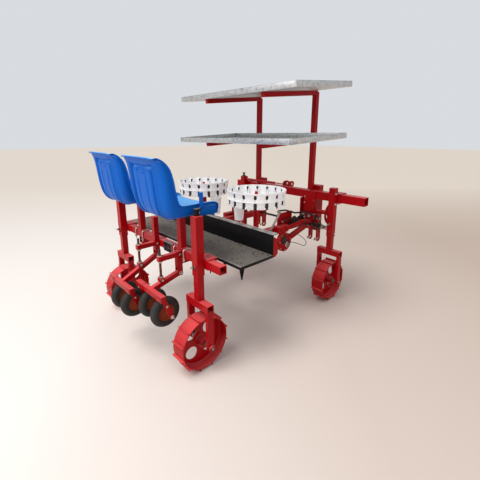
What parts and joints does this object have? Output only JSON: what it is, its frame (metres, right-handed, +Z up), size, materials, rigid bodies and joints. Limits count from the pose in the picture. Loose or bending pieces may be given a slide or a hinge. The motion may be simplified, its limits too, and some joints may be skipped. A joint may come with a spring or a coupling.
{
  "type": "seedling transplanter",
  "caption": "Tractor-mounted row transplanter with drum wheels, crew seats, cup carousels over planting bills, press wheels and seedling trays on posts.",
  "frame": {"origin": "on the floor under the middle of the bounding box", "axes": "+X is the direction of travel, +Y the left side, +Z up"},
  "size_m": [2.0774, 1.768, 2.049],
  "materials": {
    "red_paint": "semi-gloss",
    "blue_plastic": "semi-gloss",
    "white_plastic": "satin",
    "galvanised_sheet": "spangled",
    "black_paint": "semi-gloss",
    "dusty_plate": "dusty",
    "rubber": "matte",
    "orange_rim": "dusty",
    "bare_steel": "dull"
  },
  "bodies": {
    "frame": {"rear_beam": "red_paint", "front_beam": "red_paint", "rail_right": "red_paint", "seat_right": "blue_plastic", "seat_post_right": "red_paint", "carousel_stand_right": "red_paint", "funnel_right": "white_plastic", "chain_case_right": "red_paint", "hitch_leg_right": "red_paint", "tray_post_right": "red_paint", "rail_left": "red_paint", "seat_left": "blue_plastic", "seat_post_left": "red_paint", "carousel_stand_left": "red_paint", "funnel_left": "white_plastic", "chain_case_left": "red_paint", "hitch_leg_left": "red_paint", "tray_post_left": "red_paint", "platform": "dusty_plate", "kickplate": "black_paint", "leg_sleeve_rear_right": "red_paint", "wheel_fork_rear_right": "red_paint", "leg_sleeve_rear_left": "red_paint", "wheel_fork_rear_left": "red_paint", "leg_sleeve_front_right": "red_paint", "wheel_fork_front_right": "red_paint", "leg_sleeve_front_left": "red_paint", "wheel_fork_front_left": "red_paint", "press_hanger_right": "red_paint", "press_arm_right": "red_paint", "press_hanger_left": "red_paint", "press_arm_left": "red_paint", "crank_rear_right": "black_paint", "crank_grip_rear_right": "blue_plastic", "cable_loop": "rubber", "drive_shaft": "bare_steel", "top_hitch": "red_paint", "tray_upper": "galvanised_sheet", "tray_lower": "galvanised_sheet"},
    "wheel_rear_right": {"drum_wheel_rear_right": "red_paint"},
    "wheel_rear_left": {"drum_wheel_rear_left": "red_paint"},
    "wheel_front_right": {"drum_wheel_front_right": "red_paint"},
    "wheel_front_left": {"drum_wheel_front_left": "red_paint"},
    "press_wheels_right": {"press_axle_right": "orange_rim", "press_tyre_right_right": "rubber", "press_tyre_right_left": "rubber"},
    "press_wheels_left": {"press_axle_left": "orange_rim", "press_tyre_left_right": "rubber", "press_tyre_left_left": "rubber"},
    "carousel_right": {"carousel_right": "white_plastic"},
    "carousel_left": {"carousel_left": "white_plastic"},
    "rotor_right": {"rotor_right": "bare_steel"},
    "bill_right_1": {"bill_right_1": "black_paint"},
    "bill_right_2": {"bill_right_2": "black_paint"},
    "bill_right_3": {"bill_right_3": "black_paint"},
    "rotor_left": {"rotor_left": "bare_steel"},
    "bill_left_1": {"bill_left_1": "black_paint"},
    "bill_left_2": {"bill_left_2": "black_paint"},
    "bill_left_3": {"bill_left_3": "black_paint"}
  },
  "joints": [
    {"name": "wheel_rear_right_spin", "type": "hinge", "parent": "frame", "child": "wheel_rear_right", "pos_m": [-0.68995, -0.52, 0.19708], "axis": [0, 1, 0], "continuous": true},
    {"name": "wheel_rear_left_spin", "type": "hinge", "parent": "frame", "child": "wheel_rear_left", "pos_m": [-0.68995, 0.666, 0.19708], "axis": [0, 1, 0], "continuous": true},
    {"name": "wheel_front_right_spin", "type": "hinge", "parent": "frame", "child": "wheel_front_right", "pos_m": [0.82105, -0.592, 0.19708], "axis": [0, 1, 0], "continuous": true},
    {"name": "wheel_front_left_spin", "type": "hinge", "parent": "frame", "child": "wheel_front_left", "pos_m": [0.82105, 0.618, 0.19708], "axis": [0, 1, 0], "continuous": true},
    {"name": "press_wheels_right_spin", "type": "hinge", "parent": "frame", "child": "press_wheels_right", "pos_m": [-0.85965, -0.262, 0.415], "axis": [0, 1, 0], "continuous": true},
    {"name": "press_wheels_left_spin", "type": "hinge", "parent": "frame", "child": "press_wheels_left", "pos_m": [-0.92965, 0.061, 0.38], "axis": [0, 1, 0], "continuous": true},
    {"name": "carousel_right_turn", "type": "hinge", "parent": "frame", "child": "carousel_right", "pos_m": [0.08535, -0.297, 1.09], "axis": [0, 0, 1], "continuous": true},
    {"name": "carousel_left_turn", "type": "hinge", "parent": "frame", "child": "carousel_left", "pos_m": [0.08535, 0.443, 1.09], "axis": [0, 0, 1], "continuous": true},
    {"name": "rotor_right_turn", "type": "hinge", "parent": "frame", "child": "rotor_right", "pos_m": [0.06035, -0.183, 0.6], "axis": [0, 1, 0], "continuous": true},
    {"name": "bill_right_1_hang", "type": "hinge", "parent": "rotor_right", "child": "bill_right_1", "pos_m": [0.11134, -0.092, 0.44308], "axis": [0, 1, 0], "continuous": true},
    {"name": "bill_right_2_hang", "type": "hinge", "parent": "rotor_right", "child": "bill_right_2", "pos_m": [0.17076, -0.092, 0.72262], "axis": [0, 1, 0], "continuous": true},
    {"name": "bill_right_3_hang", "type": "hinge", "parent": "rotor_right", "child": "bill_right_3", "pos_m": [-0.10104, -0.092, 0.63431], "axis": [0, 1, 0], "continuous": true},
    {"name": "rotor_left_turn", "type": "hinge", "parent": "frame", "child": "rotor_left", "pos_m": [0.06035, 0.329, 0.6], "axis": [0, 1, 0], "continuous": true},
    {"name": "bill_left_1_hang", "type": "hinge", "parent": "rotor_left", "child": "bill_left_1", "pos_m": [0.00936, 0.238, 0.44308], "axis": [0, 1, 0], "continuous": true},
    {"name": "bill_left_2_hang", "type": "hinge", "parent": "rotor_left", "child": "bill_left_2", "pos_m": [0.22174, 0.238, 0.63431], "axis": [0, 1, 0], "continuous": true},
    {"name": "bill_left_3_hang", "type": "hinge", "parent": "rotor_left", "child": "bill_left_3", "pos_m": [-0.05006, 0.238, 0.72262], "axis": [0, 1, 0], "continuous": true}
  ],
  "couplings": [
    {"joint": "bill_right_1_hang", "follows": "rotor_right_turn", "ratio": -1},
    {"joint": "bill_right_2_hang", "follows": "rotor_right_turn", "ratio": -1},
    {"joint": "bill_right_3_hang", "follows": "rotor_right_turn", "ratio": -1},
    {"joint": "bill_left_1_hang", "follows": "rotor_left_turn", "ratio": -1},
    {"joint": "bill_left_2_hang", "follows": "rotor_left_turn", "ratio": -1},
    {"joint": "bill_left_3_hang", "follows": "rotor_left_turn", "ratio": -1}
  ]
}
